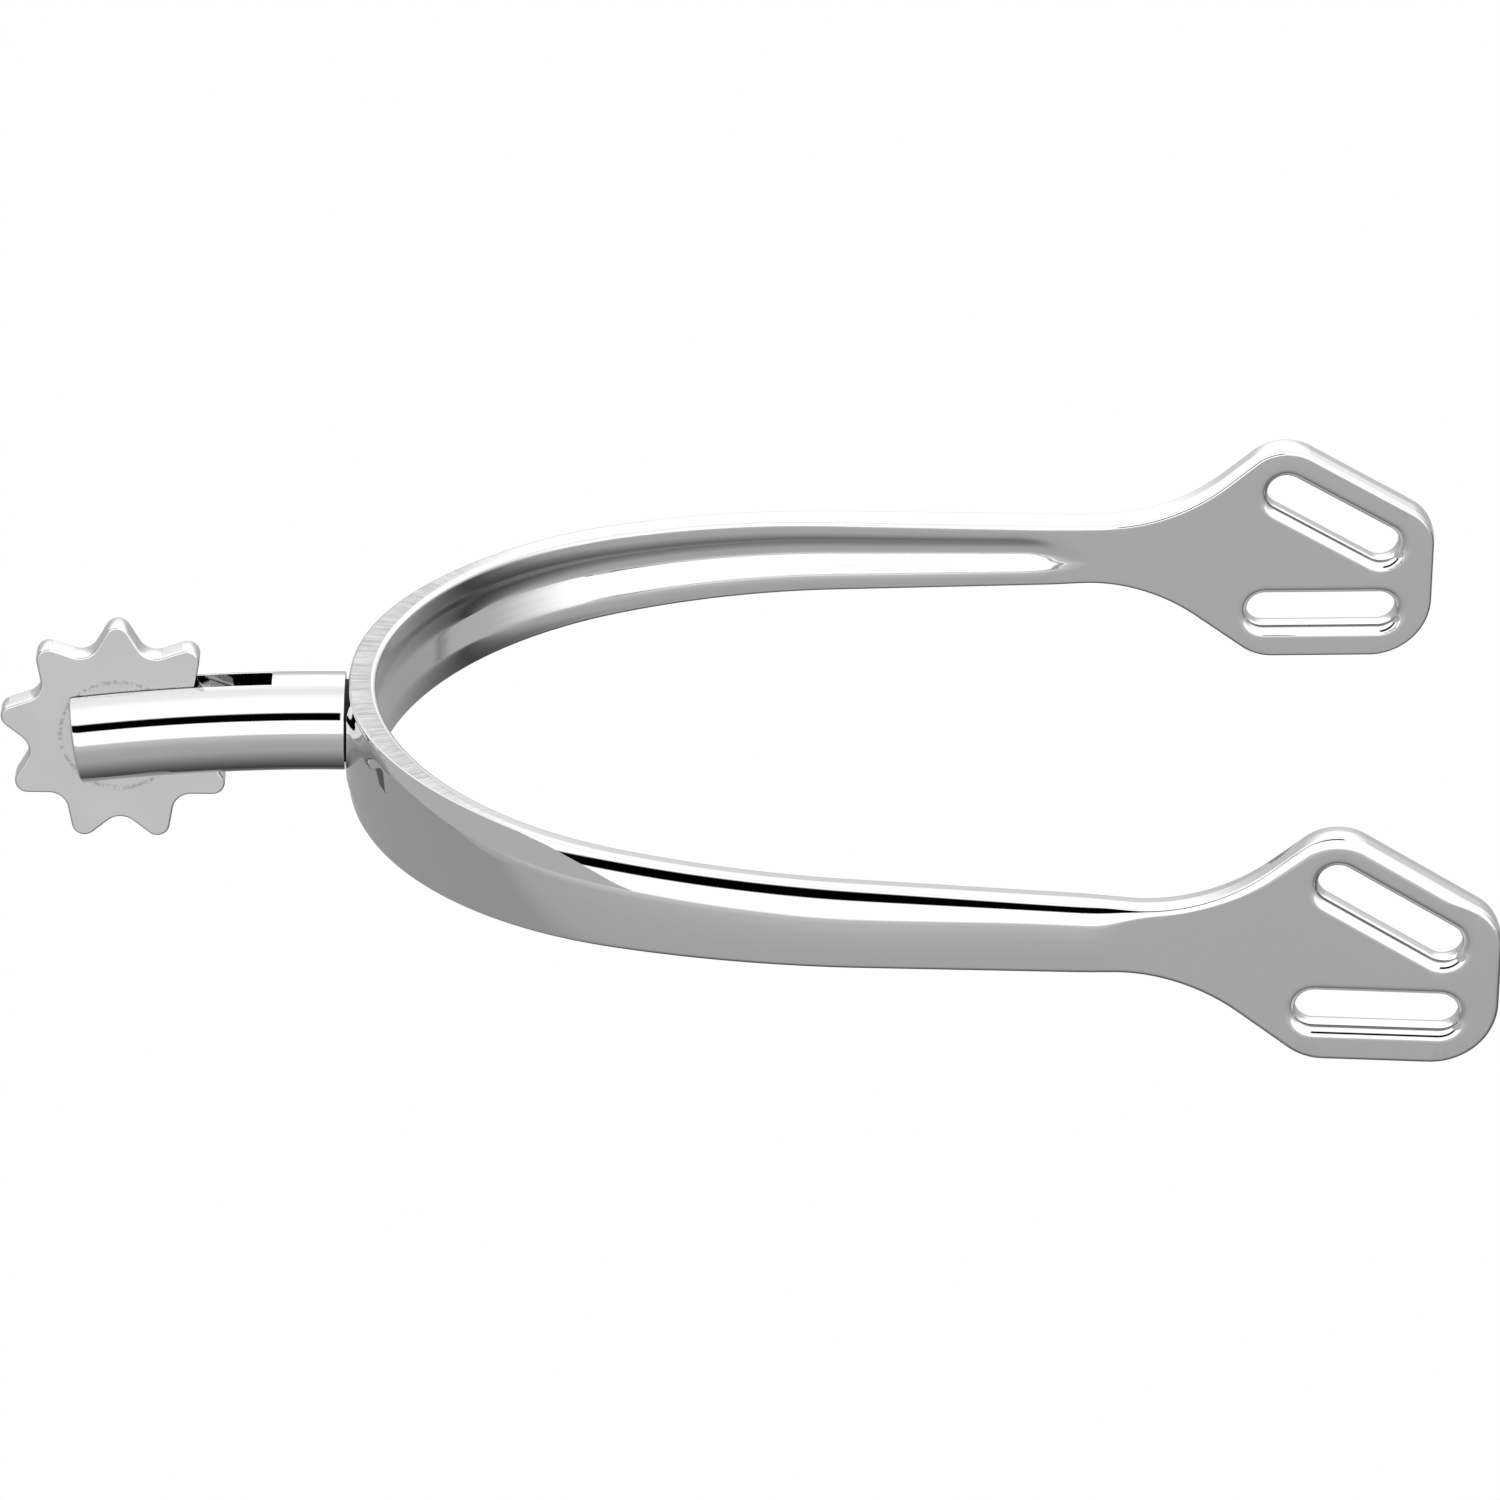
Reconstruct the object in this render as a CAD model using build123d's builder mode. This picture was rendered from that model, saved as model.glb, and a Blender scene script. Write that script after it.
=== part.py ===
"""Riding spur with a forked neck and a nine-tooth rowel, one of a pair.

Five pieces: the forged heel band with its two strap paddles, the bent round neck that is
riveted to it with a stud, the rowel, and the pin it turns on. +X runs from the rowel to the
paddles, +Z is up, and the origin is under the middle of the spur, on the surface it stands on.
"""
from build123d import *
import math
import os

os.makedirs("parts", exist_ok=True)

# Rowel
rowel_radius = 12.5
rowel_teeth = 9
rowel_thickness = 2.6
tooth_tip_radius = 1.33
tooth_half_angle = 30.0
valley_radius = 2.0
rowel_edge_radius = 0.3

# Rowel pin and its running fit
pin_diameter = 2.5
pin_running_clearance = 0.05

# Neck: a round bar that droops towards the rowel, slotted from its tip
neck_diameter = 10.3
neck_rise = 1.35
neck_length = 23.65
neck_tip_reach = 4.6
fork_gap = 2.9
fork_depth = 16.0
neck_edge_radius = 0.3

# Stud that holds the neck to the band
stud_diameter = 5.0
stud_depth_in_neck = 6.0
stud_hole_length = 5.0
spigot_diameter = 9.4
spigot_length = 0.35
spigot_root = 1.0
saddle_radius = 5.05
saddle_waist_depth = 1.5
saddle_waist_half_width = 13.0
saddle_waist_half_height = 4.9
saddle_end_depth = 4.3
saddle_end_half_width = 19.0
saddle_end_half_height = 4.6

# Heel band, seen from above
heel_radius = 43.6
heel_turn = 69.0
side_radius = 80.0
toe_in = 2.7
straight_length = 25.3
heel_thickness = 2.9
arm_thickness = 4.25
paddle_outer_setback = 0.32
paddle_inner_setback = 0.38
setback_run = 8.0

# Heel band, seen from the side, as heights from the rowel's axis
heel_top = 6.43
heel_bottom = -5.22
crown_reach = 38.0
crown_top = 5.75
crown_bottom = -3.35
arm_top = 4.20
arm_bottom = -2.62
crown_top_radius = 1200.0
crown_bottom_radius = 700.0
outer_edge_radius = 1.2
inner_edge_radius = 0.5

# Hollow ground along the inside of the band
hollow_radius = 5.0
hollow_depth = 0.7
hollow_height = 1.1
hollow_straight = 21.0

# Paddles, measured from the end of the arm
paddle_length = 38.75
ramp_up_start = 9.44
apex_reach = 21.5
apex_height = 14.44
shoulder_height = 4.39
ramp_down_start = 6.85
base_start = 19.4
ramp_up_radius = 20.5
apex_radius = 5.5
shoulder_radius = 5.0
base_front_radius = 6.8
base_rear_radius = 6.0
ramp_down_radius = 21.0

# Strap slots
slot_length = 16.4
lower_slot_width = 3.85
lower_slot_reach = 26.6
lower_slot_height = -6.2
upper_slot_width = 4.0
upper_slot_reach = 27.5
upper_slot_height = 4.75
upper_slot_tilt = 30.0
slot_edge_radius = 1.2

# Places worked out from the sizes above
tip_centre_radius = rowel_radius - tooth_tip_radius
lowest_tooth_angle = 70.0
rearmost_tooth_angle = 10.0
ground = -(tip_centre_radius * math.sin(math.radians(lowest_tooth_angle)) + tooth_tip_radius)
rearmost_reach = tip_centre_radius * math.cos(math.radians(rearmost_tooth_angle)) + tooth_tip_radius

heel_x = neck_length + spigot_length
heading = 90.0 - toe_in
arm_x = (
    heel_x
    + heel_radius * (1 - math.cos(math.radians(heel_turn)))
    + side_radius * (math.cos(math.radians(heel_turn)) - math.cos(math.radians(heading)))
    + straight_length * math.sin(math.radians(heading))
)
paddle_end = arm_x + paddle_length
band_width = 110.0
band_height = 40.0
blank_margin = 5.0

# The rowel's axis, with the spur standing on the rowel's two lowest teeth and the paddles
axis_x = (rearmost_reach - paddle_end) / 2
axis_z = -ground
side_view = Plane(origin=(axis_x, 0, axis_z), x_dir=(1, 0, 0), z_dir=(0, -1, 0))
top_view = Plane(origin=(axis_x, 0, axis_z), x_dir=(1, 0, 0), z_dir=(0, 0, 1))


def band_outline(start_x, heel_arc, side_arc, setback):
    """Closed outline of the band from above: heel, side, arm, a gentle step, then the paddle."""
    step_angle = 2 * math.degrees(math.atan(setback / setback_run))
    step_radius = setback_run / (2 * math.sin(math.radians(abs(step_angle))))
    with BuildLine() as outline:
        heel = JernArc((start_x, 0), (0, -1), heel_arc, heel_turn)
        side = JernArc(heel @ 1, heel % 1, side_arc, heading - heel_turn)
        arm = Line(side @ 1, side @ 1 + (side % 1) * (straight_length - setback_run / 2))
        step_in = JernArc(arm @ 1, arm % 1, step_radius, step_angle)
        step_out = JernArc(step_in @ 1, step_in % 1, step_radius, -step_angle)
        paddle = Line(step_out @ 1, step_out @ 1 + (step_out % 1) * paddle_length)
        Line(paddle @ 1, ((paddle @ 1).X, 0))
        mirror(about=Plane.XZ)
    return outline.line


outer_curve = band_outline(heel_x, heel_radius, side_radius, paddle_outer_setback)
inner_curve = band_outline(
    heel_x + heel_thickness,
    heel_radius - arm_thickness,
    side_radius - arm_thickness,
    -paddle_inner_setback,
)

# Boot's side of the band, as a block that is cut away
with BuildPart() as boot_space:
    with BuildSketch(top_view.offset(-band_height / 2)):
        add(inner_curve)
        make_face()
    extrude(amount=band_height)

# Shallow round-bottomed hollow that follows the inside of the band and ends like a spoon
hollow_offset = hollow_radius - hollow_depth
with BuildPart() as hollow:
    with BuildLine(top_view.offset(hollow_height)) as hollow_route:
        hollow_heel = JernArc(
            (heel_x + heel_thickness + hollow_offset, 0),
            (0, -1),
            heel_radius - arm_thickness - hollow_offset,
            heel_turn,
        )
        hollow_side = JernArc(
            hollow_heel @ 1,
            hollow_heel % 1,
            side_radius - arm_thickness - hollow_offset,
            heading - heel_turn,
        )
        Line(hollow_side @ 1, hollow_side @ 1 + (hollow_side % 1) * hollow_straight)
    with BuildSketch(Plane(origin=hollow_route.line @ 0, z_dir=hollow_route.line % 0)):
        Circle(hollow_radius)
    sweep()
    with Locations(hollow_route.line @ 1):
        Sphere(hollow_radius)
    mirror(about=Plane.XZ)

# Saddle that spreads the neck's root onto the band, with the spigot that the neck sits on
neck_root = Plane(origin=(axis_x + neck_length, 0, axis_z + neck_rise), z_dir=(1, 0, 0))
saddle_sections = [
    (spigot_length, saddle_radius, saddle_radius),
    (spigot_length + saddle_waist_depth, saddle_waist_half_width, saddle_waist_half_height),
    (spigot_length + saddle_end_depth, saddle_end_half_width, saddle_end_half_height),
]
with BuildPart() as saddle:
    for depth, half_width, half_height in saddle_sections:
        with BuildSketch(neck_root.offset(depth)):
            Ellipse(half_height, half_width)
    loft()
    with BuildSketch(neck_root):
        Circle(spigot_diameter / 2)
    extrude(amount=spigot_length + spigot_root)
    add(boot_space.part, mode=Mode.SUBTRACT)

# Heel band: the outside is the band's curve from above crossed with its outline from the side
with BuildPart() as heel_band:
    with BuildSketch(top_view.offset(-band_height / 2)):
        add(outer_curve)
        make_face()
    extrude(amount=band_height)
    with BuildSketch(side_view):
        with BuildLine():
            FilletPolyline(
                (heel_x - blank_margin, heel_bottom),
                (heel_x - blank_margin, heel_top),
                (heel_x, heel_top),
                (heel_x + crown_reach, crown_top),
                (arm_x + ramp_up_start, arm_top),
                (arm_x + apex_reach, apex_height),
                (paddle_end, shoulder_height),
                (paddle_end, ground),
                (arm_x + base_start, ground),
                (arm_x + ramp_down_start, arm_bottom),
                (heel_x + crown_reach, crown_bottom),
                (heel_x, heel_bottom),
                radius=[
                    0,
                    0,
                    0,
                    crown_top_radius,
                    ramp_up_radius,
                    apex_radius,
                    shoulder_radius,
                    base_front_radius,
                    base_rear_radius,
                    ramp_down_radius,
                    crown_bottom_radius,
                    0,
                ],
                close=True,
            )
        make_face()
    extrude(amount=band_width, both=True, mode=Mode.INTERSECT)
    outer_rim = heel_band.edges().filter_by(Axis.Z, reverse=True).filter_by(Axis.Y, reverse=True)
    fillet(outer_rim, radius=outer_edge_radius)

    # The boot's side, cut right through
    add(boot_space.part, mode=Mode.SUBTRACT)
    inner_rim = (
        heel_band.edges(Select.LAST).filter_by(Axis.Z, reverse=True).filter_by(Axis.Y, reverse=True)
    )
    fillet(inner_rim, radius=inner_edge_radius)

    # Strap slots with well-rounded edges
    with BuildSketch(side_view):
        with Locations((arm_x + lower_slot_reach, lower_slot_height)):
            SlotOverall(slot_length, lower_slot_width)
        with Locations((arm_x + upper_slot_reach, upper_slot_height)):
            SlotOverall(slot_length, upper_slot_width, rotation=-upper_slot_tilt)
    extrude(amount=band_width, both=True, mode=Mode.SUBTRACT)
    fillet(heel_band.edges(Select.LAST).filter_by(Axis.Y, reverse=True), radius=slot_edge_radius)

    # Lengthwise hollow on the inside, the saddle with its spigot, and the stud's hole
    add(hollow.part, mode=Mode.SUBTRACT)
    add(saddle.part)
    with BuildSketch(neck_root):
        Circle(stud_diameter / 2)
    extrude(amount=stud_hole_length, mode=Mode.SUBTRACT)
heel_band.part.label = "heel_band"
export_step(heel_band.part, "parts/heel_band.step")

# Rowel: straight-sided teeth with round tips and round valleys
tip_corner = tip_centre_radius + tooth_tip_radius / math.sin(math.radians(tooth_half_angle))
tooth_pitch = 360.0 / rowel_teeth
valley_angle = 180.0 - tooth_half_angle - tooth_pitch / 2
valley_corner = (
    tip_corner
    * math.sin(math.radians(tooth_half_angle))
    / math.sin(math.radians(valley_angle))
)
rowel_corners = []
corner_radii = []
for tooth in range(rowel_teeth):
    tip_direction = math.radians(90.0 + tooth * tooth_pitch)
    valley_direction = tip_direction + math.radians(tooth_pitch / 2)
    rowel_corners.append(
        (tip_corner * math.cos(tip_direction), tip_corner * math.sin(tip_direction))
    )
    rowel_corners.append(
        (valley_corner * math.cos(valley_direction), valley_corner * math.sin(valley_direction))
    )
    corner_radii += [tooth_tip_radius, valley_radius]

with BuildPart() as rowel:
    with BuildSketch(side_view):
        with BuildLine():
            FilletPolyline(*rowel_corners, radius=corner_radii, close=True)
        make_face()
    extrude(amount=rowel_thickness / 2, both=True)
    fillet(rowel.edges().filter_by(Axis.Y, reverse=True), radius=rowel_edge_radius)
    with BuildSketch(side_view):
        Circle(pin_diameter / 2 + pin_running_clearance)
    extrude(amount=rowel_thickness, both=True, mode=Mode.SUBTRACT)
rowel.part.label = "rowel"
export_step(rowel.part, "parts/rowel.step")

# Neck: a round bar bent gently down, with its tip slotted for the rowel
neck_bend_radius = neck_length**2 / (2 * neck_rise)
neck_bend = math.degrees((neck_length + neck_tip_reach) / neck_bend_radius)
with BuildPart() as neck_bar:
    with BuildLine(side_view) as neck_line:
        JernArc((neck_length, neck_rise), (-1, 0), neck_bend_radius, neck_bend)
    with BuildSketch(Plane(origin=neck_line.line @ 0, z_dir=neck_line.line % 0)):
        Circle(neck_diameter / 2)
    sweep()
    fillet(neck_bar.edges().filter_by(GeomType.CIRCLE), radius=neck_edge_radius)

with BuildPart() as neck:
    add(neck_bar.part)
    with BuildSketch(top_view):
        with Locations(((fork_depth - neck_length) / 2, 0)):
            Rectangle(fork_depth + neck_length, fork_gap)
    extrude(amount=neck_diameter, both=True, mode=Mode.SUBTRACT)
    with BuildSketch(neck_root):
        Circle(stud_diameter / 2)
    extrude(amount=-stud_depth_in_neck, mode=Mode.SUBTRACT)
    with BuildSketch(side_view):
        Circle(pin_diameter / 2)
    extrude(amount=neck_diameter, both=True, mode=Mode.SUBTRACT)
neck.part.label = "neck"
export_step(neck.part, "parts/neck.step")

# Rowel pin: driven through the fork and ground flush with the round of the neck
with BuildPart() as rowel_pin:
    with BuildSketch(side_view):
        Circle(pin_diameter / 2)
    extrude(amount=neck_diameter, both=True)
    add(neck_bar.part, mode=Mode.INTERSECT)
rowel_pin.part.label = "rowel_pin"
export_step(rowel_pin.part, "parts/rowel_pin.step")

# Stud: a blind press fit in the neck, riveted over in the hollow inside the band
with BuildPart() as neck_stud:
    with BuildSketch(neck_root.offset(-stud_depth_in_neck)):
        Circle(stud_diameter / 2)
    extrude(amount=stud_depth_in_neck + spigot_length + heel_thickness - hollow_depth)
neck_stud.part.label = "neck_stud"
export_step(neck_stud.part, "parts/neck_stud.step")
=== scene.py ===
import bpy
import math
from mathutils import Matrix, Vector


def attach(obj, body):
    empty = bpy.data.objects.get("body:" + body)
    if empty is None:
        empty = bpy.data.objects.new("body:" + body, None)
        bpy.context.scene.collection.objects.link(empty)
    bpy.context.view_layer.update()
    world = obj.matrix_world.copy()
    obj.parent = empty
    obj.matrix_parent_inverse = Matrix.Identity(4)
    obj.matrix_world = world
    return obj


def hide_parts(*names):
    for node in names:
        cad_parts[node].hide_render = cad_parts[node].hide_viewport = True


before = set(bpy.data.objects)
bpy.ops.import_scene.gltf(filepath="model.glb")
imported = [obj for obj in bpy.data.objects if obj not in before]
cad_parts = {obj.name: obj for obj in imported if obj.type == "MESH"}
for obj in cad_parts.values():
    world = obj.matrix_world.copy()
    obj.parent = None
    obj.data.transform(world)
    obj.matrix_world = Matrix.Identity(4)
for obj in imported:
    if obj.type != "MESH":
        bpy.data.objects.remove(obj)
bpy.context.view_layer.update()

# ---------------------------------------------------------------------------
# Heel band. A U of stainless bar, hot forged, with both ends spread into the
# strap paddles, then ground and polished. One half is made laid out straight,
# as (length from the heel, depth, height), then bent to its curve and mirrored.
# ---------------------------------------------------------------------------
MM = 0.001
axis_x, axis_z = -64.284, 11.826     # the rowel's axis, from which the band's sizes are taken

# The outside of the band from above: two arcs and the straight end of the arm
heel_x = 24.0
heel_radius, heel_turn = 43.6, math.radians(69.0)
side_radius, heading = 80.0, math.radians(87.3)
straight_length = 25.3
heel_arc = heel_radius * heel_turn
bend_end = heel_arc + side_radius * (heading - heel_turn)
arm_end = bend_end + straight_length
side_x = heel_x + heel_radius * (1 - math.cos(heel_turn))
side_y = -heel_radius * math.sin(heel_turn)
straight_x = side_x + side_radius * (math.cos(heel_turn) - math.cos(heading))
straight_y = side_y - side_radius * (math.sin(heading) - math.sin(heel_turn))
arm_x = straight_x + straight_length * math.sin(heading)


def curve_at(length):
    """Point on the band's outside from above, and its heading, at a length from the heel."""
    if length <= heel_arc:
        turn = length / heel_radius
        x = heel_x + heel_radius * (1 - math.cos(turn))
        return x, -heel_radius * math.sin(turn), turn
    if length <= bend_end:
        turn = heel_turn + (length - heel_arc) / side_radius
        x = side_x + side_radius * (math.cos(heel_turn) - math.cos(turn))
        return x, side_y - side_radius * (math.sin(turn) - math.sin(heel_turn)), turn
    run = length - bend_end
    return straight_x + run * math.sin(heading), straight_y - run * math.cos(heading), heading


def ease(value, start, end):
    """0 before start, 1 after end, and a smooth rise between them."""
    t = min(1.0, max(0.0, (value - start) / (end - start)))
    return t * t * (3 - 2 * t)


# Thickness, which grows from the heel to the arm, and the paddle's faces, set back a little
heel_thickness, arm_thickness = 2.9, 4.25
outer_setback, inner_setback, setback_run = 0.32, 0.38, 8.0


def setback_at(length):
    return ease(length, arm_end - setback_run / 2, arm_end + setback_run / 2)


def inner_depth(length):
    """Depth of the boot's side under the outside of the band."""
    growth = (arm_thickness - heel_thickness) * math.cos(curve_at(length)[2])
    return arm_thickness - growth - inner_setback * setback_at(length)


# Side outline as (x, height, corner radius): out along the top, round the paddle, and back
heel_top, heel_bottom, ground = 6.43, -5.22, -11.826
paddle_end_x = arm_x + 38.75
side_corners = [
    (heel_x, heel_top, 0),
    (heel_x + 38.0, 5.75, 1200.0),
    (arm_x + 9.44, 4.20, 20.5),
    (arm_x + 21.5, 14.44, 5.5),
    (paddle_end_x, 4.39, 5.0),
    (paddle_end_x, ground, 6.8),
    (arm_x + 19.4, ground, 6.0),
    (arm_x + 6.85, -2.62, 21.0),
    (heel_x + 38.0, -3.35, 700.0),
    (heel_x, heel_bottom, 0),
]
arc_step_angle, arc_step_length = math.radians(3.0), 1.2
outline = [side_corners[0][:2]]
for before, corner, after in zip(side_corners, side_corners[1:], side_corners[2:]):
    here, radius = Vector(corner[:2]), corner[2]
    back = (Vector(before[:2]) - here).normalized()
    onward = (Vector(after[:2]) - here).normalized()
    half = back.angle(onward) / 2
    reach = radius / math.tan(half)
    centre = here + (back + onward).normalized() * (radius / math.sin(half))
    start, end = here + back * reach - centre, here + onward * reach - centre
    sweep = start.angle(end)
    turning = 1 if start.cross(end) > 0 else -1
    steps = max(2, int(sweep / arc_step_angle) + 1, int(sweep * radius / arc_step_length))
    for n in range(steps + 1):
        outline.append(tuple(centre + Matrix.Rotation(turning * sweep * n / steps, 2) @ start))
outline.append(side_corners[-1][:2])


def height_on(line, x):
    """Height of a line of outline points at x."""
    for (x0, z0), (x1, z1) in zip(line, line[1:]):
        if min(x0, x1) - 1e-9 <= x <= max(x0, x1) + 1e-9 and abs(x1 - x0) > 1e-9:
            return z0 + (z1 - z0) * (x - x0) / (x1 - x0)
    raise ValueError(x)


# Points round the rim as (length, height): even stations on the arm, so that its faces
# can be grids, then the outline of the paddle
stations, paddle_spacing, paddle_gap, flare_reach = 130, 1.0, 0.3, 15.0
paddle_start = arm_end + setback_run / 2 + 0.1
paddle_x = curve_at(paddle_start)[0]
paddle_depth = inner_depth(paddle_start)
top_line = [point for point in outline if point[0] < arm_x + flare_reach and point[1] > 0]
bottom_line = [point for point in outline if point[0] < arm_x + flare_reach and point[1] < 0]
arm_lengths = [paddle_start * n / stations for n in range(stations + 1)]
rim_points = [(length, height_on(top_line, curve_at(length)[0])) for length in arm_lengths]
round_paddle = [n for n, point in enumerate(outline) if point[0] > paddle_x]
for n in range(round_paddle[0], round_paddle[-1] + 2):
    start, end = Vector(outline[n - 1]), Vector(outline[n])
    cuts = max(1, int((end - start).length / paddle_spacing))
    for cut_number in range(1, cuts + 1):
        x, height = start + (end - start) * cut_number / cuts
        if x > paddle_x + paddle_gap:
            rim_points.append((arm_end + (x - arm_x) / math.sin(heading), height))
for length in reversed(arm_lengths):
    rim_points.append((length, height_on(bottom_line, curve_at(length)[0])))
rim_count = len(rim_points)


def rim_normal(number):
    """Direction out of the outline, as (length, height), at that rim point."""
    if number in (0, rim_count - 1):
        return Vector((0, 1 if number == 0 else -1))
    along = (Vector(rim_points[number + 1]) - Vector(rim_points[number - 1])).normalized()
    return Vector((-along.y, along.x))


# The crown polished along the outside of the top edge. Its radius starts small at the
# heel, and each change is (from length, to length, by how much).
plain_round, crisp_round = 0.65, 0.3
crown_start, top_end = 0.4, -3.0
crown_changes = [
    (6.0, 38.0, 6.8),
    (arm_end - 32.0, arm_end - 2.0, -2.6),
    (arm_end - 2.0, arm_end + 4.0, -2.9),
    (arm_end + 8.0, arm_end + 20.0, 1.7),
    (arm_end + 33.0, arm_end + 36.5, -2.75),
]
crisp_fade = (arm_end + 34.0, arm_end + 36.5)
crown_low, arm_crown_high, paddle_crown_high = (math.radians(angle) for angle in (8.0, 35.0, 27.0))
crown_flattens = (arm_end - 3.0, arm_end + 6.0)

# The top falls a little towards the boot before its inner round
inner_round, fall_angle, fall_blend = 0.5, math.radians(7.5), 0.12
heel_fall_run, arm_fall_run, fall_grows = 0.3, 1.2, (15.0, 45.0)
crown_steps, round_steps, inner_steps = 9, 6, 10


def rim_section(number):
    """(inset from the outline, depth) points over the rim, from the outside to the boot's side."""
    length, height = rim_points[number]
    crown = cap = plain_round
    if number <= rim_count / 2 and height >= top_end:
        crown = crown_start + sum(by * ease(length, start, end) for start, end, by in crown_changes)
        cap = crisp_round + (plain_round - crisp_round) * ease(length, *crisp_fade)
    near, far = outer_setback * setback_at(length), inner_depth(length)
    flatter = ease(length, *crown_flattens)
    crown_high = arm_crown_high + (paddle_crown_high - arm_crown_high) * flatter
    sunk = cap * (1 - math.sin(crown_high)) + crown * math.sin(crown_high)
    section = []
    for n in range(crown_steps + 1):
        angle = crown_low + (crown_high - crown_low) * n / crown_steps
        section.append((
            sunk - crown * math.sin(angle),
            near + crown * (math.cos(crown_low) - math.cos(angle)),
        ))
    for n in range(1, round_steps + 1):
        angle = crown_high + (math.pi / 2 - crown_high) * n / round_steps
        section.append((
            cap * (1 - math.sin(angle)),
            section[crown_steps][1] + cap * (math.cos(crown_high) - math.cos(angle)),
        ))
    run = heel_fall_run + (arm_fall_run - heel_fall_run) * ease(length, *fall_grows)
    fall_start = far - inner_round * (1 - math.sin(fall_angle)) - run
    for along in (-fall_blend, fall_blend, run - fall_blend):
        section.append((max(0.0, along) * math.tan(fall_angle), fall_start + along))
    for n in range(inner_steps + 1):
        angle = fall_angle + (math.pi / 2 - fall_angle) * n / inner_steps
        section.append((
            run * math.tan(fall_angle) + inner_round * (math.cos(fall_angle) - math.cos(angle)),
            far - inner_round * (1 - math.sin(angle)),
        ))
    return section


section_count = len(rim_section(0))


def deselect():
    if bpy.context.mode != "OBJECT":
        bpy.ops.object.mode_set(mode="OBJECT")
    bpy.ops.object.select_all(action="DESELECT")


def laid_grid(name, across, along, place):
    """A grid primitive of across by along points, each moved to place(row, column)."""
    deselect()
    bpy.ops.mesh.primitive_grid_add(x_subdivisions=along - 1, y_subdivisions=across - 1, size=1)
    grid = bpy.context.object
    grid.name = name
    for row in range(across):
        for column in range(along):
            grid.data.vertices[row * along + column].co = place(row, column)
    return grid


def rim_place(row, column):
    length, height = rim_points[column]
    out = rim_normal(column)
    inset, depth = rim_section(column)[row]
    return Vector((length - out.x * inset, depth, height - out.y * inset)) * MM


rim = laid_grid("heel_band_rim", section_count, rim_count, rim_place)

# Outside face of the arm: very slightly domed, with a low saddle each side of the neck
face_rows, face_dome = 40, 0.13
saddle_rise, saddle_height = 0.42, 0.9
saddle_swells, saddle_fades, saddle_edge = (0.0, 7.0), (9.0, 19.0), (3.0, 5.1)


def outside_place(row, column):
    top = rim_place(0, column) / MM
    bottom = rim_place(0, rim_count - 1 - column) / MM
    spot = top.lerp(bottom, row / (face_rows - 1))
    if 0 < row < face_rows - 1:
        off_middle = 2 * row / (face_rows - 1) - 1
        spot.y -= face_dome * (1 - off_middle * off_middle) * (1 - setback_at(spot.x))
        spread = ease(spot.x, *saddle_swells) * (1 - ease(spot.x, *saddle_fades))
        over = 1 - ease(abs(spot.z - saddle_height), *saddle_edge)
        spot.y -= saddle_rise * spread * over
    return spot * MM


outside = laid_grid("heel_band_outside", face_rows, stations + 1, outside_place)

# Boot's side of the arm, down its height from 0 to 1: a soft shoulder under the top edge,
# the hollow, its straight lower flank, and a crisp lip above the bottom edge
shoulder_slope, flank_slope, lip_slope = (math.radians(angle) for angle in (30.0, 24.0, 12.0))
shoulder_end, hollow_low, flank_start, lip = 0.25, 0.455, 0.53, 0.775
inside_rows, fine_steps = 44, 400


def inside_slope(share):
    """Tilt of the boot's side at that share of its height, upwards positive."""
    if share < shoulder_end:
        return -shoulder_slope * ease(share, 0.0, shoulder_end)
    if share < hollow_low:
        return -shoulder_slope * (hollow_low - share) / (hollow_low - shoulder_end)
    if share < lip:
        return flank_slope * min(1.0, (share - hollow_low) / (flank_start - hollow_low))
    return lip_slope * (1 - 2 * (share - lip) / (1 - lip))


sinks = [0.0]
for n in range(fine_steps):
    sinks.append(sinks[-1] - math.tan(inside_slope((n + 0.5) / fine_steps)) / fine_steps)
deepest, lip_sink = sinks[round(hollow_low * fine_steps)], sinks[round(lip * fine_steps)]


def sink_at(share):
    """How deep the boot's side lies there, in heights, closed to nothing at both edges."""
    sink = sinks[min(fine_steps, round(share * fine_steps))]
    if share <= hollow_low:
        return sink
    if share <= lip:
        return deepest - (deepest - sink) * deepest / (deepest - lip_sink)
    return (sink - lip_sink) - (sinks[-1] - lip_sink) * (share - lip) / (1 - lip)


# The hollow is shallower at the heel and runs out to a point just past the arm's end
heel_hollow, hollow_grows = 0.4, (8.0, 40.0)
hollow_end = arm_end + (103.5 - arm_x) / math.sin(heading)
hollow_runout, runout_share = 8.0, 0.62


def inside_place(row, column):
    top = rim_place(section_count - 1, column) / MM
    bottom = rim_place(section_count - 1, rim_count - 1 - column) / MM
    share = row / (inside_rows - 1)
    spot = top.lerp(bottom, share)
    if 0 < row < inside_rows - 1:
        gone_at = hollow_end - hollow_runout * abs(share - runout_share)
        fade = heel_hollow + (1 - heel_hollow) * ease(top.x, *hollow_grows)
        fade *= 1 - ease(top.x, hollow_end - hollow_runout, gone_at)
        spot.y -= sink_at(share) * (top.z - bottom.z) * fade
    return spot * MM


inside = laid_grid("heel_band_inside", inside_rows, stations + 1, inside_place)

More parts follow.
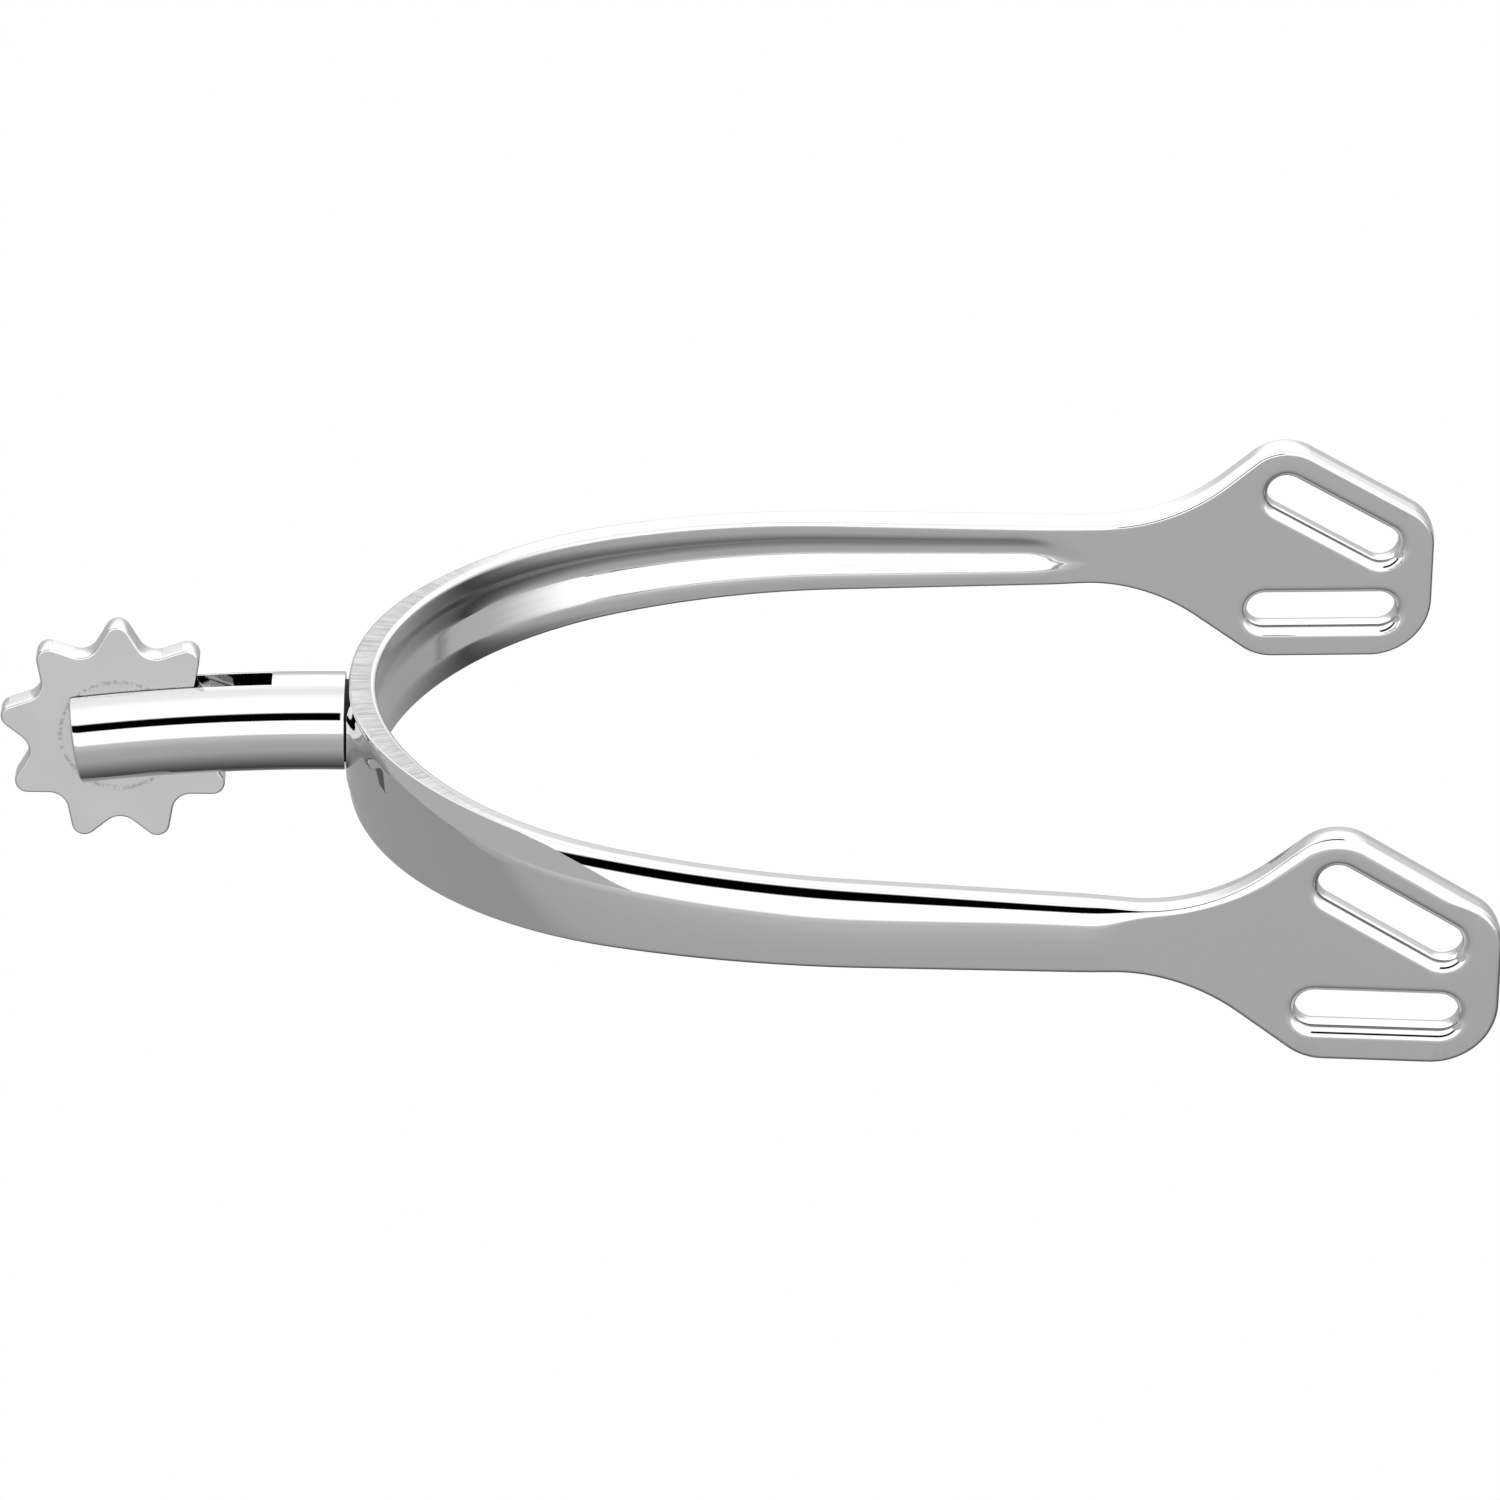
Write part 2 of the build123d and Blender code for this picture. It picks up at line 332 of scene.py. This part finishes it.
# Walls of the strap slots, well rounded so that they don't cut the strap
slot_length, slot_round, slot_turn_steps, wall_steps = 16.4, 1.3, 20, 8
slots = [(26.6, -6.2, 3.85, 0.0), (27.5, 4.75, 4.0, math.radians(-30.0))]
strap_slots = []
for reach, height, width, tilt in slots:
    half = (slot_length - width) / 2
    turns = [math.pi * (n / slot_turn_steps - 0.5) for n in range(slot_turn_steps + 1)]
    loop = [(half, turn) for turn in turns] + [(-half, turn + math.pi) for turn in turns]

    def slot_place(row, column):
        along, angle = loop[column % len(loop)]
        from_outside = row <= wall_steps
        curl = math.pi / 2 * (row if from_outside else 2 * wall_steps + 1 - row) / wall_steps
        depth = slot_round * (1 - math.cos(curl))
        depth = outer_setback + depth if from_outside else paddle_depth - depth
        size = width / 2 + slot_round * (1 - math.sin(curl))
        across, up = along + size * math.cos(angle), size * math.sin(angle)
        return Vector((
            arm_end + reach / math.sin(heading) + across * math.cos(tilt) - up * math.sin(tilt),
            depth,
            height + across * math.sin(tilt) + up * math.cos(tilt),
        )) * MM

    slot = laid_grid("heel_band_slot", 2 * wall_steps + 2, len(loop) + 1, slot_place)
    strap_slots.append(slot)

deselect()
for part in [rim, outside, inside] + strap_slots:
    part.select_set(True)
bpy.context.view_layer.objects.active = rim
bpy.ops.object.join()
heel_band = bpy.context.object
heel_band.name = "polished_heel_band"
bpy.ops.object.mode_set(mode="EDIT")
bpy.ops.mesh.select_all(action="SELECT")
bpy.ops.mesh.remove_doubles(threshold=0.004 * MM)
bpy.ops.mesh.select_all(action="DESELECT")
bpy.ops.mesh.select_mode(type="EDGE")

# The paddle's two flat faces fill the edges left open inside its rim and round its slots
tight, seam_slack = 0.02, 0.05
for depth in (outer_setback, paddle_depth):
    bpy.ops.mesh.select_all(action="SELECT")
    bpy.ops.mesh.select_non_manifold(extend=False)
    bpy.ops.object.mode_set(mode="OBJECT")
    for edge in heel_band.data.edges:
        ends = [heel_band.data.vertices[number].co / MM for number in edge.vertices]
        at_depth = all(abs(end.y - depth) < tight for end in ends)
        on_paddle = min(end.x for end in ends) > paddle_start - seam_slack
        edge.select = edge.select and at_depth and on_paddle
    for face in heel_band.data.polygons:
        face.select = False
    bpy.ops.object.mode_set(mode="EDIT")
    bpy.ops.mesh.fill(use_beauty=True)
    bpy.ops.mesh.select_all(action="DESELECT")
bpy.ops.object.mode_set(mode="OBJECT")

# Maps for the finishes, made while the band is straight: the way along it, the part of the
# top left as ground, and the side mopped by hand
ground_fades, mop_fades, mop_margin = (24.0, 44.0), (arm_end - 8.0, arm_end + 4.0), 0.9
lengthwise = heel_band.data.uv_layers[0]
lengthwise.name = "length_and_depth"
for loop in heel_band.data.loops:
    spot = heel_band.data.vertices[loop.vertex_index].co / MM
    lengthwise.data[loop.index].uv = (spot.x, spot.y + spot.z)
ground_top = heel_band.data.attributes.new("ground_top", "FLOAT", "POINT")
boot_side = heel_band.data.attributes.new("boot_side", "FLOAT", "POINT")
for vertex in heel_band.data.vertices:
    length, depth, height = vertex.co / MM
    top = height_on(top_line, curve_at(min(max(length, 0), paddle_start))[0])
    if abs(height - top) < tight:
        ground_top.data[vertex.index].value = 1 - ease(length, *ground_fades)
    if depth > inner_depth(min(max(length, 0), arm_end)) - mop_margin:
        boot_side.data[vertex.index].value = 1 - ease(length, *mop_fades)

# Bent to its curve, and the other half
for vertex in heel_band.data.vertices:
    length, depth, height = vertex.co / MM
    x, y, turn = curve_at(max(0.0, length))
    vertex.co = Vector((
        axis_x + x + depth * math.cos(turn),
        y + depth * math.sin(turn),
        axis_z + height,
    )) * MM
deselect()
heel_band.select_set(True)
bpy.context.view_layer.objects.active = heel_band
mirror = heel_band.modifiers.new("other_side", "MIRROR")
mirror.use_axis = (False, True, False)
mirror.use_clip = True
mirror.merge_threshold = 0.02 * MM
bpy.ops.object.modifier_apply(modifier=mirror.name)
bpy.ops.object.mode_set(mode="EDIT")
bpy.ops.mesh.select_all(action="SELECT")
bpy.ops.mesh.normals_make_consistent(inside=False)
bpy.ops.object.mode_set(mode="OBJECT")
band_faces = len(heel_band.data.polygons)

# The spigot that the neck is pushed onto, slimmer than the neck so that a seam shows
neck_length, neck_rise = 23.65, 1.35
spigot_radius, spigot_reach = 4.35, 1.4
neck_root = Vector((axis_x + neck_length, 0, axis_z + neck_rise))
deselect()
bpy.ops.mesh.primitive_cylinder_add(
    vertices=96,
    radius=spigot_radius * MM,
    depth=spigot_reach * MM,
    location=(neck_root + Vector((spigot_reach / 2, 0, 0))) * MM,
    rotation=(0, math.pi / 2, 0),
)
bpy.ops.object.transform_apply(location=True, rotation=True, scale=True)
heel_band.select_set(True)
bpy.context.view_layer.objects.active = heel_band
bpy.ops.object.join()


def smooth(piece, angle):
    """Smooth shading with edges sharp above that many degrees, and large faces kept flat."""
    deselect()
    piece.select_set(True)
    bpy.context.view_layer.objects.active = piece
    bpy.ops.object.shade_smooth_by_angle(angle=math.radians(angle), keep_sharp_edges=False)
    weighted = piece.modifiers.new("flat_faces", "WEIGHTED_NORMAL")
    weighted.keep_sharp = True
    weighted.weight = 60
    bpy.ops.object.modifier_apply(modifier=weighted.name)


smooth(heel_band, 32)


def linear(hex_colour):
    """An sRGB hex colour as the linear red, green, blue and alpha that a socket takes."""
    values = [int(hex_colour[n : n + 2], 16) / 255 for n in (1, 3, 5)]
    return [v / 12.92 if v <= 0.04045 else ((v + 0.055) / 1.055) ** 2.4 for v in values] + [1.0]


def node(tree, kind, settings=(), **links):
    """Adds a node. Settings are (name, value) pairs for its inputs or for itself, and each
    link goes into the input of that name, or of that number after an underscore."""
    made = tree.nodes.new(kind)
    for name, value in settings:
        if isinstance(name, int) or name in made.inputs:
            made.inputs[name].default_value = value
        else:
            setattr(made, name, value)
    for name, source in links.items():
        tree.links.new(source, made.inputs[int(name[1:]) if name[0] == "_" else name])
    return made


def new_finish(name, metallic):
    """A new material, with its node tree and its shader."""
    material = bpy.data.materials.new(name)
    material.use_nodes = True
    shader = material.node_tree.nodes["Principled BSDF"]
    shader.inputs["Metallic"].default_value = metallic
    return material, material.node_tree, shader


# Forged stainless steel, polished to a bright mirror outside and mopped softer on the boot's
# side. The top of the heel is left from the grinding wheel: it looks pale and dull, with
# marks across it about 0.4 mm apart. In a Mix node, 6 and 7 are its two colours.
polished_rough, ground_rough, mopped_rough = 0.035, 0.30, 0.11
mark_stretch = (2.4, 0.22, 1.0)
band_steel, tree, shader = new_finish("polished_forged_stainless_steel", 1.0)
ground = node(tree, "ShaderNodeAttribute", [("attribute_name", "ground_top")])
mopped = node(tree, "ShaderNodeAttribute", [("attribute_name", "boot_side")])
along = node(tree, "ShaderNodeUVMap", [("uv_map", "length_and_depth")])
across = node(tree, "ShaderNodeMapping", [("Scale", mark_stretch)], Vector=along.outputs[0])
marks = node(
    tree, "ShaderNodeTexNoise",
    [("Scale", 1.0), ("Detail", 5.0), ("Roughness", 0.7)],
    Vector=across.outputs[0],
)
streak = node(
    tree, "ShaderNodeMapRange",
    [("From Min", 0.38), ("From Max", 0.62)],
    Value=marks.outputs["Fac"],
)
ground_tone = node(
    tree, "ShaderNodeMix",
    [("data_type", "RGBA"), (6, linear("#9C9C9C")), (7, linear("#C2C2C2"))],
    _0=streak.outputs[0],
)
tone = node(
    tree, "ShaderNodeMix",
    [("data_type", "RGBA"), (6, linear("#CDCDCD"))],
    _0=ground.outputs["Fac"], _7=ground_tone.outputs[2],
)
wheel_rough = node(
    tree, "ShaderNodeMapRange",
    [("To Min", polished_rough), ("To Max", ground_rough)],
    Value=ground.outputs["Fac"],
)
rough = node(
    tree, "ShaderNodeMath",
    [("operation", "MULTIPLY_ADD"), (1, mopped_rough)],
    _0=mopped.outputs["Fac"], _2=wheel_rough.outputs[0],
)
cut_marks = node(
    tree, "ShaderNodeMath",
    [("operation", "MULTIPLY")],
    _0=marks.outputs["Fac"], _1=ground.outputs["Fac"],
)
bump = node(
    tree, "ShaderNodeBump",
    [("Strength", 0.6), ("Distance", 0.06 * MM)],
    Height=cut_marks.outputs[0],
)
tree.links.new(tone.outputs[2], shader.inputs["Base Color"])
tree.links.new(rough.outputs[0], shader.inputs["Roughness"])
tree.links.new(bump.outputs[0], shader.inputs["Normal"])
heel_band.data.materials.append(band_steel)

# Painted shade in the seam round the spigot: a dull, nearly black material on the spigot's faces
# stands in for the shade deep in the narrow gap
painted_seam_shade, tree, shader = new_finish("painted_seam_shade_material", 0.0)
shader.inputs["Base Color"].default_value = linear("#1C1C1C")
place = node(tree, "ShaderNodeTexCoord")
grit = node(tree, "ShaderNodeTexNoise", [("Scale", 2500.0)], Vector=place.outputs["Object"])
dullness = node(
    tree, "ShaderNodeMapRange",
    [("To Min", 0.55), ("To Max", 0.85)],
    Value=grit.outputs["Fac"],
)
tree.links.new(dullness.outputs["Result"], shader.inputs["Roughness"])
heel_band.data.materials.append(painted_seam_shade)
# The spigot's faces take the painted seam shade
for face in heel_band.data.polygons[band_faces:]:
    face.material_index = 1
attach(heel_band, "yoke")
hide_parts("heel_band")

# ---------------------------------------------------------------------------
# Neck stud. A plain turned stud pressed into the neck's root and through the
# band; both cover it, so the shape it was designed with stays.
# ---------------------------------------------------------------------------


def bar_steel(name, colour, roughness, spread):
    """A stainless steel with roughness that clouds over about 6 mm and faint wiping along x."""
    material, tree, shader = new_finish(name, 1.0)
    shader.inputs["Base Color"].default_value = linear(colour)
    place = node(tree, "ShaderNodeTexCoord").outputs["Object"]
    clouds = node(tree, "ShaderNodeTexNoise", [("Scale", 180.0), ("Detail", 4.0)], Vector=place)
    wiped = node(tree, "ShaderNodeMapping", [("Scale", (250.0, 1600.0, 1600.0))], Vector=place)
    streaks = node(
        tree, "ShaderNodeTexNoise",
        [("Scale", 1.0), ("Detail", 3.0)],
        Vector=wiped.outputs[0],
    )
    bump = node(
        tree, "ShaderNodeBump",
        [("Strength", 0.25), ("Distance", 0.004 * MM)],
        Height=streaks.outputs["Fac"],
    )
    rough = node(
        tree, "ShaderNodeMapRange",
        [
            ("From Min", 0.35), ("From Max", 0.65),
            ("To Min", roughness), ("To Max", roughness + spread),
        ],
        Value=clouds.outputs["Fac"],
    )
    tree.links.new(bump.outputs[0], shader.inputs["Normal"])
    tree.links.new(rough.outputs["Result"], shader.inputs["Roughness"])
    return material


# Stainless steel as turned, not polished: even and silky, with no clear reflections
satin_stainless = bar_steel("satin_stainless_steel", "#D4D4D4", 0.28, 0.08)
neck_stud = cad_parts["neck_stud"]
neck_stud.data.materials.clear()
neck_stud.data.materials.append(satin_stainless)

# ---------------------------------------------------------------------------
# Neck. A round stainless bar bent gently down and polished, then sawn from its
# tip with the slot that the rowel runs in. It is pushed onto the band's spigot.
# ---------------------------------------------------------------------------
neck_radius, neck_end_round, root_round_share, fork_edge_round = 5.15, 0.3, 0.25, 0.1
neck_tip_reach, fork_gap, fork_depth = 4.6, 2.9, 16.0
saw_length, saw_height = 40.0, 30.0
neck_bend_radius = neck_length ** 2 / (2 * neck_rise)
neck_bend = (neck_length + neck_tip_reach) / neck_bend_radius
tip_out = Vector((-math.cos(neck_bend), 0, -math.sin(neck_bend)))
tip_face = (neck_root + Vector((
    -neck_bend_radius * math.sin(neck_bend),
    0,
    neck_bend_radius * (math.cos(neck_bend) - 1),
))) * MM
deselect()
bpy.ops.mesh.primitive_circle_add(
    vertices=160,
    radius=neck_radius * MM,
    fill_type="NGON",
    location=neck_root * MM,
    rotation=(0, math.pi / 2, 0),
)
neck = bpy.context.object
neck.name = "polished_neck"
bpy.ops.object.transform_apply(location=True, rotation=True, scale=True)
bpy.ops.object.mode_set(mode="EDIT")
bpy.ops.mesh.select_all(action="SELECT")
bpy.ops.mesh.spin(
    steps=36,
    angle=neck_bend,
    center=(neck_root - Vector((0, 0, neck_bend_radius))) * MM,
    axis=(0, 1, 0),
)
bpy.ops.mesh.select_all(action="SELECT")
bpy.ops.mesh.remove_doubles(threshold=0.001 * MM)
bpy.ops.mesh.normals_make_consistent(inside=False)
bpy.ops.object.mode_set(mode="OBJECT")

# Its tip is rounded more than its root, which is turned square to close on the band
close = 0.01 * MM
weights = neck.data.attributes.new("bevel_weight_edge", "FLOAT", "EDGE")
for edge in neck.data.edges:
    ends = [neck.data.vertices[number].co for number in edge.vertices]
    if all(abs(end.x - neck_root.x * MM) < close for end in ends):
        weights.data[edge.index].value = root_round_share
    elif all((end - tip_face).dot(tip_out) > -close for end in ends):
        weights.data[edge.index].value = 1.0
bevel = neck.modifiers.new("ends", "BEVEL")
bevel.width, bevel.segments, bevel.limit_method = neck_end_round * MM, 4, "WEIGHT"
bpy.ops.object.modifier_apply(modifier=bevel.name)


def cut(piece, tool):
    """Cuts the tool's shape out of the piece and throws the tool away."""
    deselect()
    piece.select_set(True)
    bpy.context.view_layer.objects.active = piece
    boolean = piece.modifiers.new("cut", "BOOLEAN")
    boolean.operation, boolean.object, boolean.solver = "DIFFERENCE", tool, "EXACT"
    bpy.ops.object.modifier_apply(modifier=boolean.name)
    bpy.data.objects.remove(tool)


def rounded(piece, width, segments, over):
    """Rounds every edge that turns by more than that many degrees."""
    deselect()
    piece.select_set(True)
    bpy.context.view_layer.objects.active = piece
    bevel = piece.modifiers.new("rounded", "BEVEL")
    bevel.width, bevel.segments = width * MM, segments
    bevel.limit_method, bevel.angle_limit = "ANGLE", math.radians(over)
    bevel.use_clamp_overlap = False
    bpy.ops.object.modifier_apply(modifier=bevel.name)


deselect()
saw_place = Vector((axis_x + fork_depth - saw_length / 2, 0, axis_z)) * MM
bpy.ops.mesh.primitive_cube_add(size=1, location=saw_place)
saw = bpy.context.object
saw.scale = Vector((saw_length, fork_gap, saw_height)) * MM
bpy.ops.object.transform_apply(location=True, rotation=False, scale=True)
cut(neck, saw)
rounded(neck, fork_edge_round, 2, 50)
smooth(neck, 40)

# Stainless bar polished to a mirror: crisp bands of light and dark along its round
polished_stainless = bar_steel("polished_stainless_steel", "#CDCDCD", 0.025, 0.02)
neck.data.materials.append(polished_stainless)
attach(neck, "yoke")
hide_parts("neck")

# ---------------------------------------------------------------------------
# Rowel pin. Hard steel wire driven through both cheeks of the fork; its ends
# were ground and polished with the neck, so they don't show.
# ---------------------------------------------------------------------------
pin_radius, pin_half_length, pin_end_round = 1.25, 4.8, 0.15
deselect()
bpy.ops.mesh.primitive_cylinder_add(
    vertices=64,
    radius=pin_radius * MM,
    depth=2 * pin_half_length * MM,
    location=Vector((axis_x, 0, axis_z)) * MM,
    rotation=(math.pi / 2, 0, 0),
)
rowel_pin = bpy.context.object
rowel_pin.name = "hard_rowel_pin"
bpy.ops.object.transform_apply(location=True, rotation=True, scale=True)
rounded(rowel_pin, pin_end_round, 3, 60)
smooth(rowel_pin, 40)
rowel_pin.data.materials.append(satin_stainless)
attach(rowel_pin, "yoke")
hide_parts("rowel_pin")

# ---------------------------------------------------------------------------
# Rowel. A nine-tooth star stamped from stainless sheet, tumbled until its edges
# were round, with its faces left satin. It turns freely on the pin.
# ---------------------------------------------------------------------------
rowel_radius, teeth, rowel_thickness, rowel_edge_round = 12.5, 9, 2.6, 0.3
tip_round, valley_round, tooth_half_angle = 1.33, 2.0, math.radians(30.0)
hole_radius, arc_steps = 1.3, 6
pitch = 2 * math.pi / teeth
tip_centre = rowel_radius - tip_round
tip_corner = tip_centre + tip_round / math.sin(tooth_half_angle)
valley_turn = math.pi - tooth_half_angle - pitch / 2
valley_corner = tip_corner * math.sin(tooth_half_angle) / math.sin(valley_turn)
valley_centre = valley_corner + valley_round / math.sin(valley_turn)
half_tooth = []
for n in range(arc_steps + 1):
    swing = (math.pi / 2 - tooth_half_angle) * n / arc_steps
    half_tooth.append((tip_centre + tip_round * math.cos(swing), tip_round * math.sin(swing)))
for n in range(arc_steps + 1):
    swing = (valley_turn - math.pi / 2) * (1 - n / arc_steps)
    reach = valley_centre - valley_round * math.cos(swing)
    aside = -valley_round * math.sin(swing)
    half_tooth.append((
        reach * math.cos(pitch / 2) - aside * math.sin(pitch / 2),
        reach * math.sin(pitch / 2) + aside * math.cos(pitch / 2),
    ))
tooth = [(reach, -aside) for reach, aside in reversed(half_tooth[1:-1])] + half_tooth
deselect()
bpy.ops.mesh.primitive_circle_add(vertices=teeth * len(tooth), radius=1, fill_type="NGON")
rowel = bpy.context.object
rowel.name = "satin_rowel"
for n, vertex in enumerate(rowel.data.vertices):
    reach, aside = tooth[n % len(tooth)]
    turn = math.pi / 2 + pitch * (n // len(tooth))
    vertex.co = Vector((
        axis_x + reach * math.cos(turn) - aside * math.sin(turn),
        -rowel_thickness / 2,
        axis_z + reach * math.sin(turn) + aside * math.cos(turn),
    )) * MM
bpy.ops.object.mode_set(mode="EDIT")
bpy.ops.mesh.select_all(action="SELECT")
bpy.ops.mesh.extrude_region_move(TRANSFORM_OT_translate={"value": (0, rowel_thickness * MM, 0)})
bpy.ops.mesh.select_all(action="SELECT")
bpy.ops.mesh.normals_make_consistent(inside=False)
bpy.ops.object.mode_set(mode="OBJECT")
rounded(rowel, rowel_edge_round, 4, 60)
deselect()
bpy.ops.mesh.primitive_cylinder_add(
    vertices=64,
    radius=hole_radius * MM,
    depth=4 * rowel_thickness * MM,
    location=Vector((axis_x, 0, axis_z)) * MM,
    rotation=(math.pi / 2, 0, 0),
)
cut(rowel, bpy.context.object)
smooth(rowel, 40)

# Satin stainless sheet: soft and even, with a broken ring rubbed duller by the fork's cheeks
ring_radius, ring_width = 6.15, 0.35
satin_rowel = bar_steel("satin_rowel_steel", "#E6E6E6", 0.26, 0.06)
tree = satin_rowel.node_tree
place = node(tree, "ShaderNodeTexCoord").outputs["Object"]
centred = node(
    tree, "ShaderNodeMapping",
    [("Location", (-axis_x * MM, 0.0, -axis_z * MM))],
    Vector=place,
)
flat = node(
    tree, "ShaderNodeVectorMath",
    [("operation", "MULTIPLY"), (1, (1.0, 0.0, 1.0))],
    _0=centred.outputs[0],
)
reach = node(tree, "ShaderNodeVectorMath", [("operation", "LENGTH")], _0=flat.outputs[0])
off_ring = node(
    tree, "ShaderNodeMath",
    [("operation", "SUBTRACT"), (1, ring_radius * MM)],
    _0=reach.outputs["Value"],
)
off_ring = node(tree, "ShaderNodeMath", [("operation", "ABSOLUTE")], _0=off_ring.outputs[0])
ring = node(
    tree, "ShaderNodeMapRange",
    [("From Max", ring_width * MM), ("To Min", 1.0), ("To Max", 0.0)],
    Value=off_ring.outputs[0],
)
grain = node(tree, "ShaderNodeTexNoise", [("Scale", 3500.0), ("Detail", 2.0)], Vector=place)
speckle = node(
    tree, "ShaderNodeMapRange",
    [("From Min", 0.42), ("From Max", 0.58)],
    Value=grain.outputs["Fac"],
)
worn = node(
    tree, "ShaderNodeMath",
    [("operation", "MULTIPLY")],
    _0=ring.outputs[0], _1=speckle.outputs[0],
)
tone = node(
    tree, "ShaderNodeMix",
    [("data_type", "RGBA"), (6, linear("#E6E6E6")), (7, linear("#BABABA"))],
    _0=worn.outputs[0],
)
tree.links.new(tone.outputs[2], tree.nodes["Principled BSDF"].inputs["Base Color"])
rowel.data.materials.append(satin_rowel)
rowel.data.materials.append(polished_stainless)
for face in rowel.data.polygons:
    face.material_index = 0 if abs(face.normal.y) > 0.9 else 1
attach(rowel, "rowel")
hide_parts("rowel")

# ---------------------------------------------------------------------------
# Studio. White paper lit from below as well as above, so that it takes no
# shadow; the steel doesn't mirror it but the room's walls instead.
# ---------------------------------------------------------------------------
deselect()
bpy.ops.mesh.primitive_plane_add(size=6.0, location=(0, 0, 0))
floor = bpy.context.object
floor.name = "studio_floor"
floor.visible_glossy = False
paper, tree, shader = new_finish("white_paper", 0.0)
shader.inputs["Base Color"].default_value = linear("#000000")
shader.inputs["Specular IOR Level"].default_value = 0.0
shader.inputs["Emission Color"].default_value = linear("#FFFFFF")
shader.inputs["Emission Strength"].default_value = 1.0
floor.data.materials.append(paper)

# The room's light by its height, as (degrees up from the front, level): dim below the table,
# bright walls above it, and one black strip across the front wall
light_by_height = [
    (-180, 0.72), (-155, 0.50), (-135, 0.25), (-112, 0.07), (-96, 0.14), (-79, 0.25),
    (-65, 0.38), (-52, 0.52), (-46, 0.57), (-35, 0.585), (-24, 0.63), (-9, 0.83), (-6.5, 0.88),
    (-4.5, 1.7), (26.0, 1.7), (26.6, 0.0), (43.4, 0.0), (44.0, 1.7), (78, 1.7), (92, 1.38),
    (104, 1.33), (122, 1.7), (140, 1.7), (156, 1.62), (160, 1.35), (166, 1.0), (176, 0.75),
]
brightest = 2.0
world = bpy.data.worlds.new("studio")
bpy.context.scene.world = world
world.use_nodes = True
tree = world.node_tree
way = node(tree, "ShaderNodeTexCoord")
parts = node(tree, "ShaderNodeSeparateXYZ", Vector=way.outputs["Generated"])
x, y, z = parts.outputs["X"], parts.outputs["Y"], parts.outputs["Z"]
front = node(tree, "ShaderNodeMath", [("operation", "MULTIPLY"), (1, -1.0)], _0=y)
angle = node(tree, "ShaderNodeMath", [("operation", "ARCTAN2")], _0=z, _1=front.outputs[0])
share = node(
    tree, "ShaderNodeMapRange",
    [("From Min", -math.pi), ("From Max", math.pi)],
    Value=angle.outputs[0],
)
walls_seen = []
for levels in (light_by_height, [stop for stop in light_by_height if stop[1] > 0.0]):
    ramp = node(tree, "ShaderNodeValToRGB", _0=share.outputs[0])
    while len(ramp.color_ramp.elements) < len(levels):
        ramp.color_ramp.elements.new(0.999)
    for stop, (degrees, level) in zip(ramp.color_ramp.elements, levels):
        stop.position = (degrees + 180) / 360
        stop.color = [level / brightest] * 3 + [1]
    walls_seen.append(ramp.outputs["Color"])

# The black strip ends towards the right
strip_end = node(
    tree, "ShaderNodeMapRange",
    [("From Min", 0.06), ("From Max", 0.10)],
    Value=x,
)
walls = node(
    tree, "ShaderNodeMix",
    [("data_type", "RGBA")],
    _0=strip_end.outputs[0], _6=walls_seen[0], _7=walls_seen[1],
)

# Greyer walls far to the left and right, up to the top of the walls
side_wall, side_middle, side_half_height = 0.33, 0.27, 0.35
leaning = node(tree, "ShaderNodeMath", [("operation", "MULTIPLY_ADD"), (1, 0.35)], _0=z, _2=x)
left_wall = node(
    tree, "ShaderNodeMath",
    [("operation", "LESS_THAN"), (1, -0.62)],
    _0=leaning.outputs[0],
)
right_wall = node(
    tree, "ShaderNodeMapRange",
    [("From Min", 0.80), ("From Max", 0.98)],
    Value=x,
)
beside = node(
    tree, "ShaderNodeMath",
    [("operation", "MAXIMUM")],
    _0=left_wall.outputs[0], _1=right_wall.outputs[0],
)
wall_height = node(
    tree, "ShaderNodeMath",
    [("operation", "COMPARE"), (1, side_middle), (2, side_half_height)],
    _0=z,
)
beside = node(
    tree, "ShaderNodeMath",
    [("operation", "MULTIPLY")],
    _0=beside.outputs[0], _1=wall_height.outputs[0],
)
room = node(
    tree, "ShaderNodeMix",
    [("data_type", "RGBA"), (7, (side_wall, side_wall, side_wall, 1.0))],
    _0=beside.outputs[0], _6=walls.outputs[2],
)

# A little light kept in the dim part low on the left
left_glow = 0.225
left = node(
    tree, "ShaderNodeMapRange",
    [("From Min", -0.25), ("From Max", -0.45)],
    Value=x,
)
low = node(tree, "ShaderNodeMath", [("operation", "LESS_THAN"), (1, 0.0)], _0=z)
left_low = node(
    tree, "ShaderNodeMath",
    [("operation", "MULTIPLY")],
    _0=left.outputs[0], _1=low.outputs[0],
)
room = node(
    tree, "ShaderNodeMix",
    [
        ("data_type", "RGBA"), ("blend_type", "LIGHTEN"),
        (7, (left_glow, left_glow, left_glow, 1.0)),
    ],
    _0=left_low.outputs[0], _6=room.outputs[2],
)
background = tree.nodes["Background"]
tree.links.new(room.outputs[2], background.inputs["Color"])
background.inputs["Strength"].default_value = brightest
bpy.context.scene.view_settings.view_transform = "Standard"

# The camera, held a little off level, in front of and above the spur's near side
aim = Vector((0.0017, -0.0013, 0.0109))
distance, lens, sensor = 0.9483, 217.5, 36.0
azimuth, elevation, roll = (math.radians(angle) for angle in (-0.69, 26.65, 0.96))
back = Vector((
    math.sin(azimuth) * math.cos(elevation),
    -math.cos(azimuth) * math.cos(elevation),
    math.sin(elevation),
))
level_right = Vector((math.cos(azimuth), math.sin(azimuth), 0))
right = level_right * math.cos(roll) + back.cross(level_right) * math.sin(roll)
facing = Matrix((right, back.cross(right), back)).transposed().to_4x4()
bpy.ops.object.camera_add()
camera = bpy.context.object
camera.matrix_world = Matrix.Translation(aim + back * distance) @ facing
camera.data.lens, camera.data.sensor_width = lens, sensor
camera.data.clip_start, camera.data.clip_end = 0.01, 20
bpy.context.scene.camera = camera
